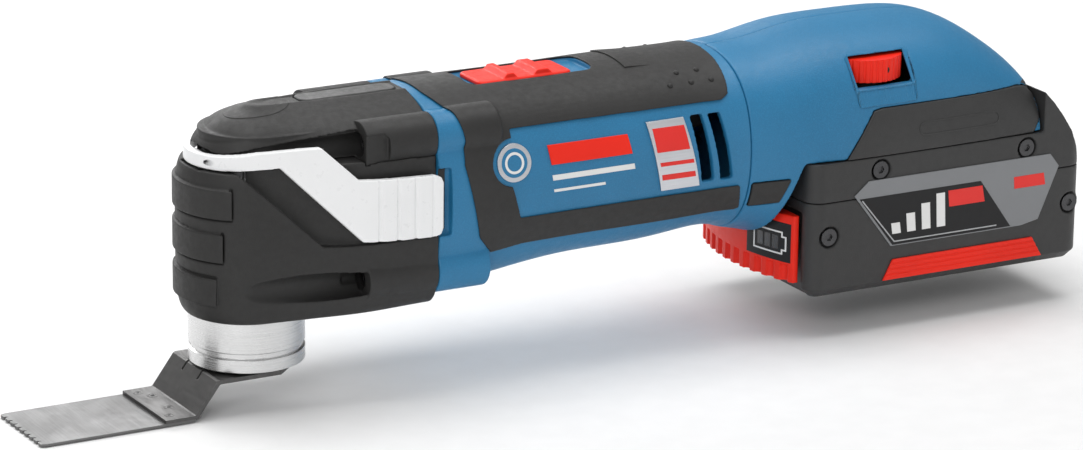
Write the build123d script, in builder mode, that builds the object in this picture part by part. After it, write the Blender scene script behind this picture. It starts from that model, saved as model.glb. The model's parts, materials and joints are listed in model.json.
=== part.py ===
"""Cordless oscillating multi tool with a slide-on battery, a keyless clamping bow and a plunge-cut blade.

Origin: on the spindle axis, in the plane of the collar's lower rim. +Z up along the spindle,
+X towards the battery, the blade points to -X. Millimetres.
"""
import os
from math import cos, pi, radians, sin

from build123d import *

os.makedirs("parts", exist_ok=True)

# ---------------------------------------------------------------- driving dimensions
AXIS_Z = 54.0            # height of the motor axis over the collar rim
COLLAR_R = 19.75         # accessory collar, outside
COLLAR_H = 17.1
HEAD_BOTTOM = 17.1
HEAD_END = 57.0          # head to motor housing joint plane
BODY_START = 57.2
SEAM_X = 177.6           # motor housing to rear housing joint plane
REAR_END = 296.0
WALL = 2.6
SKIN = 0.7               # how far the soft grip stands proud of the housing
LEVER_T = 2.6            # thickness of the clamping bow
LEVER_AXIS = (-18.1, 72.2)   # X, Z of the bow's hinge pin
UP_LUG = (21.4, 75.0)    # |Y|, Z of the upper screw lugs
LOW_LUG = (22.3, 29.0)   # |Y|, Z of the lower screw lugs
UP_LUG_R = 8.2
LOW_LUG_R = 8.6
ECC = 0.6                # throw of the motor's eccentric
ECC_X = 28.0             # where the eccentric sits along the motor axis
ECC_BEARING_R = 6.5
FORK_SLOT = 7.25         # half width of the fork slot
PACK_X0, PACK_X1 = 199.5, 314.0
PACK_W = 75.0
PACK_Z0, PACK_SEAM, PACK_TOP = 0.3, 35.0, 49.2
RAIL_TOP = 59.4
CELL_R, CELL_L = 9.2, 65.0
PLATE_TOP, PLATE_T = -1.0, 1.5   # blade carrier plate under the collar
BLADE_W = 34.7
BLADE_TIP = -83.0
BLADE_Z = -13.3          # top of the saw blade
STEP_Z = -12.1           # top of the carrier's lower flat


def oval(w, z_top, z_bot, n, k=16):
    """Points of a superellipse in a YZ plane."""
    zc, h = (z_top + z_bot) / 2, (z_top - z_bot) / 2
    pts = []
    for i in range(k):
        t = 2 * pi * (i + 0.5) / k
        c, s = cos(t), sin(t)
        pts.append((w * abs(c) ** (2 / n) * (1 if c > 0 else -1),
                    zc + h * abs(s) ** (2 / n) * (1 if s > 0 else -1)))
    return pts


def oval_loft(rows, inset=0.0):
    """Adds a loft along X through superellipse sections (x, half width, top, bottom, power)."""
    sections = []
    for x, w, zt, zb, n in rows:
        with BuildSketch(Plane.YZ.offset(x)) as section:
            with BuildLine():
                Spline(*oval(w - inset, zt - inset, zb + inset, n), periodic=True)
            make_face()
        sections.append(section.sketch)
    loft(sections)


def horseshoe(tip, xc, wn, wm, wr, rear=62.0):
    """Open U outline in an XY plane, from the rear on -Y round the nose to the rear on +Y."""
    side = []
    for f in (1.0, 0.75, 0.5, 0.25, 0.0):
        x = xc + (rear - xc) * f
        if x > 30:
            y = wm + (wr - wm) * (x - 30) / (rear - 30)
        else:
            g = (x - xc) / max(30 - xc, 1e-6)
            y = wn + (wm - wn) * g
        side.append((x, y))
    a = xc - tip
    nose = [(xc - a * sin(radians(t)), wn * cos(radians(t))) for t in (30, 60)]
    half = side + nose
    return [(x, -y) for x, y in half] + [(tip, 0)] + [(x, y) for x, y in reversed(half)]


def plan_face(z, pts):
    """Face in the XY plane at height z inside a smooth open outline and the line across its ends."""
    with BuildSketch(Plane.XY.offset(z)) as face:
        with BuildLine():
            Spline(*pts)
            Line(pts[-1], pts[0])
        make_face()
    return face.sketch


def side_face(*pts, grow=0.0):
    """Face in the XZ plane inside a closed polygon of (x, z) points."""
    with BuildSketch(Plane.XZ) as face:
        with BuildLine():
            Polyline(*pts, close=True)
        make_face()
        if grow:
            offset(amount=grow)
    return face.sketch


def plan_loft(rows):
    """Adds a loft up Z through horseshoe outlines (z, tip, xc, wn, wm, wr)."""
    loft([plan_face(z, horseshoe(*row)) for z, *row in rows])


def finish(builder, name, colour):
    builder.part.label = name
    builder.part.color = Color(*colour)
    export_step(builder.part, f"parts/{name}.step")


BLUE = (0.13, 0.32, 0.5)
BLACK = (0.06, 0.06, 0.06)
RED = (0.75, 0.08, 0.04)
SILVER = (0.8, 0.8, 0.82)
STEEL = (0.45, 0.45, 0.47)

# ---------------------------------------------------------------- master outer forms
BODY_ROWS = [
    (BODY_START, 30.9, 86.6, 17.6, 2.7),
    (68.0, 31.2, 86.6, 17.9, 2.6),
    (82.0, 31.3, 86.6, 18.9, 2.5),
    (97.0, 31.4, 86.6, 20.6, 2.4),
    (118.0, 31.4, 86.6, 22.2, 2.4),
    (150.0, 31.7, 86.6, 23.2, 2.4),
    (178.0, 32.4, 86.8, 22.6, 2.4),
]
REAR_ROWS = [
    (SEAM_X + 0.2, 32.4, 86.8, 22.6, 2.4),
    (188.0, 33.3, 87.3, 20.0, 2.45),
    (199.0, 34.8, 88.9, 15.0, 2.5),
    (212.0, 36.4, 91.0, 10.0, 2.5),
    (232.0, 37.0, 91.6, 9.0, 2.5),
    (250.0, 37.0, 91.3, 9.0, 2.5),
    (263.0, 36.9, 89.8, 10.0, 2.5),
    (275.0, 36.6, 85.4, 13.0, 2.5),
    (286.0, 36.2, 78.4, 19.0, 2.5),
    (REAR_END, 35.8, 68.6, 28.0, 2.5),
]
with BuildPart() as body_form:
    oval_loft(BODY_ROWS)
with BuildPart() as body_core:
    oval_loft(BODY_ROWS, WALL)
with BuildPart() as body_skin_form:
    oval_loft(BODY_ROWS, -SKIN)
with BuildPart() as body_gap_form:
    oval_loft(BODY_ROWS, -0.05)
with BuildPart() as rear_form:
    oval_loft(REAR_ROWS)
with BuildPart() as rear_core:
    oval_loft([(max(x, SEAM_X + 0.2) if i < len(REAR_ROWS) - 1 else x - 3.0, w, t, b, n)
               for i, (x, w, t, b, n) in enumerate(REAR_ROWS)], WALL)
with BuildPart() as rear_skin_form:
    oval_loft(REAR_ROWS, -0.4)

COVER_ROWS = [
    (HEAD_BOTTOM, -20.4, 0, 20.4, 24.0, 22.8),
    (19.6, -22.3, 0, 22.3, 27.2, 26.8),
    (25.0, -23.3, 0, 23.3, 28.8, 29.6),
    (38.0, -23.7, 0, 23.7, 29.3, 30.6),
    (52.0, -23.7, 0, 23.7, 29.5, 30.9),
    (62.0, -23.5, 0, 23.6, 29.4, 30.6),
    (67.0, -22.8, 0, 23.3, 29.0, 30.2),
    (70.6, -20.9, 0, 22.6, 28.6, 29.8),
]
with BuildPart() as cover_form:
    plan_loft(COVER_ROWS)

CAP_ROWS = [
    (72.5, -18.2, 0, 19.6, 26.0, 27.4),
    (75.2, -17.9, 0, 19.3, 25.4, 26.4),
    (77.4, -16.6, 0, 18.4, 24.0, 24.8),
    (80.0, -14.0, 0, 16.7, 21.6, 22.2),
    (82.5, -10.9, 1, 14.2, 18.4, 18.8),
    (84.5, -7.0, 3, 11.2, 14.6, 15.0),
    (86.0, -2.0, 6, 7.8, 10.4, 10.6),
    (87.0, 7.0, 14, 4.0, 5.4, 5.6),
]
with BuildPart() as cap_form:
    plan_loft(CAP_ROWS)

# plan outlines of the bow: outer, inner, and what has to stay inside it
BOW_OUT = [(58.0, 33.0), (45.0, 33.0), (34.0, 32.6), (25.0, 30.6), (15.0, 27.4), (6.0, 24.4), (-3.0, 22.0),
           (-11.0, 18.2), (-17.4, 11.4)]
BOW_IN = [(58.0, 30.4), (45.0, 30.4), (34.4, 30.0), (26.0, 28.2), (16.0, 24.9), (7.0, 21.9), (-1.6, 19.7),
          (-9.2, 16.3), (-15.1, 10.2)]
FLOOR = [(62.0, 28.4), (45.0, 28.4), (34.6, 28.2), (26.6, 26.6), (16.6, 23.6), (7.6, 20.9), (-1.0, 18.9),
         (-8.4, 15.6), (-13.8, 9.6)]


def plan_outline(rows, tip):
    return [(x, -y) for x, y in rows] + [(tip, 0)] + [(x, y) for x, y in reversed(rows)]


# ---------------------------------------------------------------- head
# everything in the head the bow swings through, outside the recess floor
with BuildPart() as recess_zone:
    extrude(side_face((-14.6, 72.4), (-13.6, 71.0), (15.8, 43.0), (24.6, 42.5), (64.0, 42.2), (64.0, 90.0),
                      (-14.6, 90.0)), amount=70, both=True)
    extrude(plan_face(30, plan_outline(FLOOR, -15.6)), amount=70, mode=Mode.SUBTRACT)

with BuildPart() as head_cover:
    add(cover_form.part)
    with BuildSketch(Plane.YZ.offset(66)):      # trim to the joint plane
        Rectangle(140, 240)
    extrude(amount=-(66 - HEAD_END), mode=Mode.SUBTRACT)
    # bow seat: the shoulder falls off level with the bow's lower edge
    side_cut = [(-40, 69.3), (-14.0, 69.5), (6.0, 70.6), (70, 70.6), (70, 80), (-40, 80)]
    extrude(side_face(*side_cut), amount=70, both=True, mode=Mode.SUBTRACT)
    add(recess_zone.part, mode=Mode.SUBTRACT)
    # screw lugs
    with BuildSketch(Plane.YZ.offset(31)):
        with Locations((-LOW_LUG[0], LOW_LUG[1]), (LOW_LUG[0], LOW_LUG[1])):
            Circle(LOW_LUG_R)
    extrude(amount=HEAD_END - 31)
    # cavity for the gear case
    with BuildSketch(Plane.XY.offset(19.8)):
        Circle(19.2)
    extrude(amount=25.4, mode=Mode.SUBTRACT)
    with BuildSketch(Plane.XY.offset(45.0)):
        Circle(17.5)
    extrude(amount=35.0, mode=Mode.SUBTRACT)
    with BuildSketch(Plane.YZ):
        with Locations((0, AXIS_Z)):
            Circle(17.5)
    extrude(amount=70.0, mode=Mode.SUBTRACT)
    # collar opening in the floor of the head
    with BuildSketch(Plane.XY.offset(10)):
        Circle(18.6)
    extrude(amount=20, mode=Mode.SUBTRACT)
    # lower screw bores, their heads, and the channels in front of them
    with BuildSketch(Plane.YZ.offset(25)):
        with Locations((-LOW_LUG[0], LOW_LUG[1]), (LOW_LUG[0], LOW_LUG[1])):
            Circle(2.2)
    extrude(amount=40, mode=Mode.SUBTRACT)
    with BuildSketch(Plane.YZ.offset(31.2)):
        with Locations((-LOW_LUG[0] - 3.5, LOW_LUG[1]), (LOW_LUG[0] + 3.5, LOW_LUG[1])):
            Circle(4.9)
    extrude(amount=-48.2, mode=Mode.SUBTRACT)
    with BuildSketch(Plane.YZ.offset(37)):
        with Locations((-LOW_LUG[0], LOW_LUG[1]), (LOW_LUG[0], LOW_LUG[1])):
            Circle(4.0)
    extrude(amount=-6.0, mode=Mode.SUBTRACT)
    # three raised ribs round the nose, square at their ends
    for z0, z1, x1 in ((54.4, 64.4, -14.6), (39.4, 49.2, -17.0), (24.0, 33.6, -18.6)):
        with BuildSketch(Plane.XY.offset(z0 - 0.7)):
            Circle(26.0)
            Circle(22.9, mode=Mode.SUBTRACT)
            with Locations((x1 + 40.7, 0)):
                Rectangle(80, 80, mode=Mode.SUBTRACT)
        extrude(amount=z1 - z0 + 1.4, mode=Mode.SUBTRACT)
        with BuildSketch(Plane.XY.offset(z0)):
            Circle(24.6)
            Circle(22.4, mode=Mode.SUBTRACT)
            with Locations((x1 + 40, 0)):
                Rectangle(80, 80, mode=Mode.SUBTRACT)
        extrude(amount=z1 - z0)
    # room for the hinge of the bow
    with BuildSketch(Plane.XZ):
        with Locations(LEVER_AXIS):
            Circle(3.85)
    extrude(amount=7.5, both=True, mode=Mode.SUBTRACT)
    # clear of the upper screw lugs
    with BuildSketch(Plane.YZ.offset(30.6)):
        with Locations((-UP_LUG[0], UP_LUG[1]), (UP_LUG[0], UP_LUG[1])):
            Circle(UP_LUG_R + 0.15)
    extrude(amount=30.0, mode=Mode.SUBTRACT)
finish(head_cover, "head_cover", BLACK)

with BuildPart() as top_cap:
    add(cap_form.part)
    with BuildSketch(Plane.YZ.offset(66)):
        Rectangle(140, 240)
    extrude(amount=-(66 - HEAD_END), mode=Mode.SUBTRACT)
    # side edge of the cap rises towards the rear, with the recess under it
    extrude(side_face((-40, 74.95), (-14.0, 75.3), (-5.0, 77.2), (28.0, 80.2), (70.0, 80.4), (70.0, 60), (-40, 60)),
            amount=70, both=True, mode=Mode.SUBTRACT)
    # neck under the cap, inside the bow
    with BuildSketch(Plane.XY.offset(70.8)):
        pts = plan_outline([(HEAD_END, 20.0), (40.0, 20.0), (25.0, 19.4), (12.0, 18.6), (0.0, 17.4), (-9.0, 13.6)],
                           -16.2)
        with BuildLine():
            Spline(*pts)
            Line(pts[-1], pts[0])
        make_face()
    extrude(amount=9.8)
    # pocket for the hinge of the bow and its bracket
    with BuildSketch(Plane.XZ):
        with Locations(LEVER_AXIS):
            Circle(3.2)
    extrude(amount=20, both=True, mode=Mode.SUBTRACT)
    with BuildSketch(Plane.XZ):
        with Locations(LEVER_AXIS):
            Circle(3.8)
    extrude(amount=7, both=True, mode=Mode.SUBTRACT)
    with BuildSketch(Plane.XZ):
        with Locations((LEVER_AXIS[0] + 3.6, LEVER_AXIS[1])):
            Rectangle(4.4, 2.6)
    extrude(amount=5.9, both=True, mode=Mode.SUBTRACT)
    # screw lugs
    with BuildSketch(Plane.YZ.offset(31)):
        with Locations((-UP_LUG[0], UP_LUG[1]), (UP_LUG[0], UP_LUG[1])):
            Circle(UP_LUG_R)
    extrude(amount=HEAD_END - 31)
    # the lugs' front corners are cut back so that the bow's grip plates swing past them
    for y0 in (27.6, -40.0):
        with BuildSketch(Plane.XZ.offset(-y0)):
            with BuildLine():
                Polyline((30.0, 62.0), (39.2, 62.0), (39.2, 78.0), (37.6, 79.6), (30.0, 79.6), close=True)
            make_face()
        extrude(amount=-12.4, mode=Mode.SUBTRACT)
    # hollow inside
    with BuildSketch(Plane.XY.offset(60)):
        pts = plan_outline([(62.0, 12.2), (40.0, 12.2), (20.0, 12.0), (4.0, 11.4)], -10.5)
        with BuildLine():
            Spline(*pts)
            Line(pts[-1], pts[0])
        make_face()
    extrude(amount=22.5, mode=Mode.SUBTRACT)
    with BuildSketch(Plane.YZ.offset(25)):
        with Locations((-UP_LUG[0], UP_LUG[1]), (UP_LUG[0], UP_LUG[1])):
            Circle(2.2)
    extrude(amount=40, mode=Mode.SUBTRACT)
    with BuildSketch(Plane.YZ.offset(37)):
        with Locations((-UP_LUG[0], UP_LUG[1]), (UP_LUG[0], UP_LUG[1])):
            Circle(4.3)
    extrude(amount=-40, mode=Mode.SUBTRACT)
    # clears the gear case
    with BuildSketch(Plane.YZ.offset(0)):
        with Locations((0, AXIS_Z)):
            Circle(17.8)
    extrude(amount=70, mode=Mode.SUBTRACT)
    # seat of the thin plate let into the top
    with BuildSketch(Plane.XY.offset(86.2)):
        with Locations((37.0, 0)):
            RectangleRounded(36.6, 9.6, 3.4)
    extrude(amount=3, mode=Mode.SUBTRACT)
finish(top_cap, "top_cap", BLACK)

with BuildPart() as cap_plate:
    with BuildSketch(Plane.XY.offset(86.2)):
        with Locations((37.0, 0)):
            RectangleRounded(36.0, 9.0, 3.1)
    extrude(amount=1.3)
    chamfer(cap_plate.edges().group_by(Axis.Z)[-1], 0.4)
finish(cap_plate, "cap_plate", BLACK)

# ---------------------------------------------------------------- clamping bow
with BuildPart() as clamp_lever:
    with BuildSketch(Plane.XY.offset(40)):
        pts = plan_outline(BOW_OUT, -20.9)
        inner = plan_outline(BOW_IN, -18.2)
        with BuildLine():
            Spline(*pts)
            Line(pts[-1], inner[-1])
            Spline(*reversed(inner))
            Line(inner[0], pts[0])
        make_face()
    extrude(amount=45)
    extrude(side_face(
                     (-30, 69.9), (-17.0, 70.0), (-5.0, 70.9), (1.6, 71.2), (28.2, 44.2), (54.0, 42.9), (56.6, 43.6),
                     (57.4, 45.6), (57.4, 61.6), (56.6, 63.4), (54.4, 64.3), (27.0, 65.6), (14.8, 77.4), (-5.0, 76.6),
                     (-17.0, 74.7), (-30, 74.5)), amount=60, both=True, mode=Mode.INTERSECT)
    # four finger grooves in each grip plate
    with BuildSketch(Plane.XY.offset(30)):
        with Locations(*[(x, s * y) for x, y in ((33.8, 32.75), (40.6, 33.1), (47.2, 33.1), (53.8, 33.1))
                         for s in (-1, 1)]):
            Circle(0.75)
    extrude(amount=50, mode=Mode.SUBTRACT)
    # hinge eye behind the nose, and room for the two fixed ears beside it
    with BuildSketch(Plane.XZ.offset(-4.6)):
        with Locations(LEVER_AXIS):
            Circle(1.5)
        with Locations((LEVER_AXIS[0] + 0.9, LEVER_AXIS[1] - 1.9)):
            Rectangle(4.8, 3.0)
    extrude(amount=9.2, mode=Mode.SUBTRACT)
    with BuildSketch(Plane.XZ.offset(-2.4)):
        with Locations(LEVER_AXIS):
            Circle(2.2)
    extrude(amount=4.8)
    with BuildSketch(Plane.XZ.offset(-20)):
        with Locations(LEVER_AXIS):
            Circle(0.97)
    extrude(amount=40, mode=Mode.SUBTRACT)
finish(clamp_lever, "clamp_lever", SILVER)

with BuildPart() as lever_bracket:
    # two ears behind the bow that carry the pin, on a bridge let into the neck
    for y0 in (2.6, -4.4):
        with BuildSketch(Plane.XZ.offset(-y0)):
            with Locations(LEVER_AXIS):
                Circle(1.3)
            with Locations((LEVER_AXIS[0] + 2.8, LEVER_AXIS[1])):
                Rectangle(5.6, 1.6)
        extrude(amount=-1.8)
    with BuildSketch(Plane.XZ.offset(4.4)):
        with Locations((LEVER_AXIS[0] + 4.9, LEVER_AXIS[1])):
            Rectangle(1.6, 2.4)
    extrude(amount=-8.8)
    with BuildSketch(Plane.XZ.offset(-20)):
        with Locations(LEVER_AXIS):
            Circle(0.9)
    extrude(amount=40, mode=Mode.SUBTRACT)
finish(lever_bracket, "lever_bracket", STEEL)

with BuildPart() as lever_pin:
    with BuildSketch(Plane.XZ.offset(-4.4)):
        with Locations(LEVER_AXIS):
            Circle(0.9)
    extrude(amount=8.8)
finish(lever_pin, "lever_pin", STEEL)

# ---------------------------------------------------------------- gear head inside
with BuildPart() as gear_case:
    with BuildSketch(Plane.XY.offset(17.3)):
        Circle(18.4)
    extrude(amount=2.7)
    with BuildSketch(Plane.XY.offset(20.0)):
        Circle(18.9)
    extrude(amount=24.8)
    with BuildSketch(Plane.XY.offset(44.8)):
        Circle(17.2)
    extrude(amount=21.7)
    with BuildSketch(Plane.XY.offset(66.5)):        # stepped top, clear of the swinging bow
        Circle(15.5)
    extrude(amount=2.5)
    with BuildSketch(Plane.YZ.offset(0)):
        with Locations((0, AXIS_Z)):
            Circle(17.2)
    extrude(amount=62.0)
    with BuildSketch(Plane.XY.offset(33.5)):        # room for the spindle and fork
        Circle(15.2)
    extrude(amount=26.7, mode=Mode.SUBTRACT)
    with BuildSketch(Plane.YZ.offset(0)):
        with Locations((0, AXIS_Z)):
            Circle(14.6)
    extrude(amount=42.0, mode=Mode.SUBTRACT)
    with BuildSketch(Plane.YZ.offset(40)):          # front motor bearing seat
        with Locations((0, AXIS_Z)):
            Circle(9.5)
    extrude(amount=30, mode=Mode.SUBTRACT)
    with BuildSketch(Plane.XY.offset(22.0)):        # lower spindle bearing seat
        Circle(15.0)
    extrude(amount=12, mode=Mode.SUBTRACT)
    with BuildSketch(Plane.XY.offset(15.0)):
        Circle(11.2)
    extrude(amount=12, mode=Mode.SUBTRACT)
    with BuildSketch(Plane.XY.offset(60.0)):        # upper bearing seat
        Circle(10.0)
    extrude(amount=7.5, mode=Mode.SUBTRACT)
    with BuildSketch(Plane.XY.offset(60.0)):
        Circle(4.6)
    extrude(amount=12, mode=Mode.SUBTRACT)
finish(gear_case, "gear_case", (0.6, 0.6, 0.62))

with BuildPart() as collar_ring:
    with BuildSketch(Plane.XZ):
        with BuildLine():
            Polyline((16.3, 0.0), (COLLAR_R, 0.0), (COLLAR_R, 4.2), (18.9, 4.7), (18.9, 6.2),
                     (COLLAR_R, 6.7), (COLLAR_R, 17.0), (16.3, 17.0), close=True)
        make_face()
    revolve(axis=Axis.Z)
finish(collar_ring, "collar_ring", SILVER)

with BuildPart() as dust_seal:
    with BuildSketch(Plane.XY.offset(15.2)):
        Circle(16.2)
        Circle(8.2, mode=Mode.SUBTRACT)
    extrude(amount=1.9)
finish(dust_seal, "dust_seal", BLACK)


with BuildPart() as spindle_lower_bearing:
    with BuildSketch(Plane.XZ):                     # closed bearing: two races with a shield between them
        with BuildLine():
            Polyline((7.54, 22.0), (10.0, 22.0), (10.0, 22.8), (12.6, 22.8), (12.6, 22.0), (15.0, 22.0),
                     (15.0, 31.0), (12.6, 31.0), (12.6, 30.2), (10.0, 30.2), (10.0, 31.0), (7.54, 31.0),
                     close=True)
        make_face()
    revolve(axis=Axis.Z)
finish(spindle_lower_bearing, "spindle_lower_bearing", STEEL)

with BuildPart() as spindle_upper_bearing:
    with BuildSketch(Plane.XY.offset(60.2)):
        Circle(10.0)
        Circle(6.04, mode=Mode.SUBTRACT)
    extrude(amount=7.0)
finish(spindle_upper_bearing, "spindle_upper_bearing", STEEL)

with BuildPart() as spindle:
    with BuildSketch(Plane.XZ):
        with BuildLine():
            Polyline((4.9, 1.0), (8.0, 1.0), (8.0, 21.4), (7.5, 21.4), (7.5, 31.4), (9.2, 31.4), (9.2, 46.0),
                     (7.4, 46.0), (7.4, 60.0), (6.0, 60.0), (6.0, 67.2), (3.3, 67.2), (3.3, 48.0), (6.6, 45.0),
                     (6.6, 27.0), (4.9, 27.0), close=True)
        make_face()
    revolve(axis=Axis.Z)
finish(spindle, "spindle", STEEL)

with BuildPart() as fork_rocker:
    with BuildSketch(Plane.XY.offset(47.5)):
        Circle(12.0)
        with Locations((22.5, 0)):
            Rectangle(22.0, 24.0)
        Circle(7.4, mode=Mode.SUBTRACT)
        with Locations((30.6, 0)):
            Rectangle(30.0, 2 * FORK_SLOT, mode=Mode.SUBTRACT)
    extrude(amount=11.5)
    fillet(fork_rocker.edges().filter_by(Axis.Z).group_by(Axis.X)[-1], 2.0)
finish(fork_rocker, "fork_rocker", STEEL)

with BuildPart() as tool_holder:
    with BuildSketch(Plane.XZ):
        with BuildLine():
            Polyline((8.0, 2.2), (8.0, 14.5), (10.0, 14.5), (15.6, 9.0), (15.6, 0.2), (14.6, PLATE_TOP),
                     (4.9, PLATE_TOP), (4.9, 1.0), (8.0, 1.0), close=True)
        make_face()
    revolve(axis=Axis.Z)
    with BuildSketch(Plane.XY.offset(PLATE_TOP)):
        with PolarLocations(11.6, 12):
            Circle(1.35)
    extrude(amount=-1.3)
finish(tool_holder, "tool_holder", STEEL)

with BuildPart() as clamp_collet:
    with BuildSketch(Plane.XY.offset(27.4)):
        Circle(6.5)
        Circle(4.75, mode=Mode.SUBTRACT)
        with PolarLocations(6, 3):
            Rectangle(5, 1.0, mode=Mode.SUBTRACT)
    extrude(amount=8.0)
finish(clamp_collet, "clamp_collet", STEEL)

with BuildPart() as clamp_springs:
    for i in range(6):
        with BuildSketch(Plane.XY.offset(35.6 + i * 1.4)):
            Circle(6.4)
            Circle(4.9, mode=Mode.SUBTRACT)
        extrude(amount=1.1)
finish(clamp_springs, "clamp_springs", STEEL)

with BuildPart() as clamp_plunger:
    with BuildSketch(Plane.XY.offset(47.2)):
        Circle(3.2)
    extrude(amount=24.6)
    with BuildSketch(Plane.XY.offset(71.8)):
        Circle(4.4)
    extrude(amount=1.8)
    chamfer(clamp_plunger.edges().group_by(Axis.Z)[-1], 0.5)
finish(clamp_plunger, "clamp_plunger", STEEL)

# ---------------------------------------------------------------- blade and its bolt
with BuildPart() as clamp_bolt:
    with BuildSketch(Plane.XZ):
        with BuildLine():
            z = PLATE_TOP - PLATE_T
            Polyline((0, z - 2.6), (9.6, z - 2.6), (11.2, z - 1.2), (11.2, z), (4.6, z), (4.6, 30.0), (4.1, 31.0),
                     (4.1, 33.0), (4.6, 34.0), (4.6, 42.8), (3.4, 44.4), (0, 44.4), close=True)
        make_face()
    revolve(axis=Axis.Z)
    with BuildSketch(Plane.XY.offset(PLATE_TOP - PLATE_T - 2.6)):
        RegularPolygon(2.9, 6)
    extrude(amount=5.0, mode=Mode.SUBTRACT)
finish(clamp_bolt, "clamp_bolt", STEEL)

with BuildPart() as blade_carrier:
    hw = BLADE_W / 2
    t = PLATE_T
    # side outline of the pressed plate: collar flat, cranked slope, lower flat
    extrude(side_face(
                     (17.0, PLATE_TOP), (-18.4, PLATE_TOP), (-19.2, PLATE_TOP - 0.4), (-27.0, STEP_Z + 0.2),
                     (-27.6, STEP_Z), (-38.0, STEP_Z), (-38.0, STEP_Z - 1.2), (-26.9, STEP_Z - 1.2),
                     (-26.0, STEP_Z - 0.7), (-18.2, PLATE_TOP - t - 0.1), (-17.8, PLATE_TOP - t),
                     (17.0, PLATE_TOP - t)), amount=hw, both=True)
    # octagonal end and the star of pin holes round the bolt hole
    with BuildSketch(Plane.XY.offset(-20)):
        with BuildLine():
            Polyline((4.4, -hw), (30, -hw), (30, hw), (4.4, hw), (12.6, 9.6), (16.2, 5.0), (16.2, -5.0),
                     (12.6, -9.6), close=True)
        make_face()
    extrude(amount=25, mode=Mode.SUBTRACT)
    with BuildSketch(Plane.XY.offset(-5)):
        Circle(4.95)
        with PolarLocations(11.6, 12):
            Circle(1.6)
        # relief slits by the upper bend
        with Locations((-19.0, 6.4), (-19.0, -5.2)):
            SlotOverall(4.2, 1.1)
    extrude(amount=6, mode=Mode.SUBTRACT)
finish(blade_carrier, "blade_carrier", (0.2, 0.2, 0.2))

with BuildPart() as saw_blade:
    TEETH = 9
    pitch = BLADE_W / TEETH
    with BuildSketch(Plane.XY.offset(BLADE_Z)):
        with BuildLine():
            edge = [(-27.4, BLADE_W / 2), (-27.4, -BLADE_W / 2), (BLADE_TIP + 2.2, -BLADE_W / 2)]
            for i in range(TEETH):
                y = -BLADE_W / 2 + i * pitch
                edge += [(BLADE_TIP + 0.25, y + pitch * 0.16), (BLADE_TIP, y + pitch * 0.5),
                         (BLADE_TIP + 0.25, y + pitch * 0.84)]
                if i < TEETH - 1:
                    edge += [(BLADE_TIP + 1.9, y + pitch)]
            edge += [(BLADE_TIP + 2.2, BLADE_W / 2)]
            Polyline(*edge, close=True)
        make_face()
    extrude(amount=-0.9)
finish(saw_blade, "saw_blade", (0.4, 0.4, 0.4))

# ---------------------------------------------------------------- motor housing
PANEL = [(188.0, 44.6), (87.6, 44.6), (84.2, 56.2), (85.2, 75.0), (168.0, 75.0), (171.2, 77.0), (172.6, 82.0),
         (173.4, 85.4), (174.4, 92.0), (188.0, 92.0)]
with BuildPart() as motor_housing:
    add(body_form.part)
    with BuildSketch(Plane.YZ.offset(BODY_START)):
        with Locations((-UP_LUG[0], UP_LUG[1]), (UP_LUG[0], UP_LUG[1])):
            Circle(UP_LUG_R)
    extrude(amount=14.0)
    with BuildSketch(Plane.YZ.offset(BODY_START)):
        with Locations((-LOW_LUG[0], LOW_LUG[1]), (LOW_LUG[0], LOW_LUG[1])):
            Circle(LOW_LUG_R)
    extrude(amount=19.6)
    add(body_core.part, mode=Mode.SUBTRACT)
    # front wall with the opening for the gear case, and solid corners for the screws
    with BuildSketch(Plane.YZ.offset(BODY_START)):
        with BuildLine():
            Spline(*oval(29.6, 85.2, 19.0, 2.7), periodic=True)
        make_face()
        with Locations((0, AXIS_Z)):
            Circle(17.4, mode=Mode.SUBTRACT)
    extrude(amount=5.6)
    for (y, zz), r, run in ((UP_LUG, 5.2, 13.8), (LOW_LUG, 5.6, 18.0)):
        with BuildSketch(Plane.YZ.offset(BODY_START)):
            with Locations((-y, zz), (y, zz)):
                Circle(r)
        extrude(amount=run)
        with BuildSketch(Plane.YZ.offset(BODY_START - 1)):
            with Locations((-y, zz), (y, zz)):
                Circle(1.95)
        extrude(amount=17.6, mode=Mode.SUBTRACT)
    with BuildSketch(Plane.YZ.offset(SEAM_X)):      # trim at the seam
        Rectangle(140, 240)
    extrude(amount=10, mode=Mode.SUBTRACT)
    # relief behind the grips of the bow
    with BuildSketch(Plane.XZ):
        with Locations((58.8, 53.6)):
            Rectangle(5.8, 23.4)
    extrude(amount=60, both=True, mode=Mode.SUBTRACT)
    with BuildSketch(Plane.YZ.offset(BODY_START)):
        with Locations((0, 53.6)):
            Rectangle(56.8, 23.4)
        with Locations((0, AXIS_Z)):
            Circle(17.4, mode=Mode.SUBTRACT)
    extrude(amount=5.0)
    # cooling slots on both sides
    extrude(side_face((154.6, 71.2), (159.4, 71.2), (163.4, 47.8), (158.6, 47.8)), amount=60, both=True,
            mode=Mode.SUBTRACT)
    extrude(side_face((161.6, 71.0), (166.4, 71.0), (170.8, 47.6), (166.0, 47.6)), amount=60, both=True,
            mode=Mode.SUBTRACT)
    # switch recess and slot
    with BuildSketch(Plane.XY.offset(84.9)):
        with Locations((103.8, 0)):
            RectangleRounded(48.4, 19.0, 4.0)
    extrude(amount=10, mode=Mode.SUBTRACT)
    with BuildSketch(Plane.XY.offset(78.0)):
        with Locations((99.0, 0)):
            Rectangle(24.0, 7.0)
    extrude(amount=10, mode=Mode.SUBTRACT)
finish(motor_housing, "motor_housing", BLUE)

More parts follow.
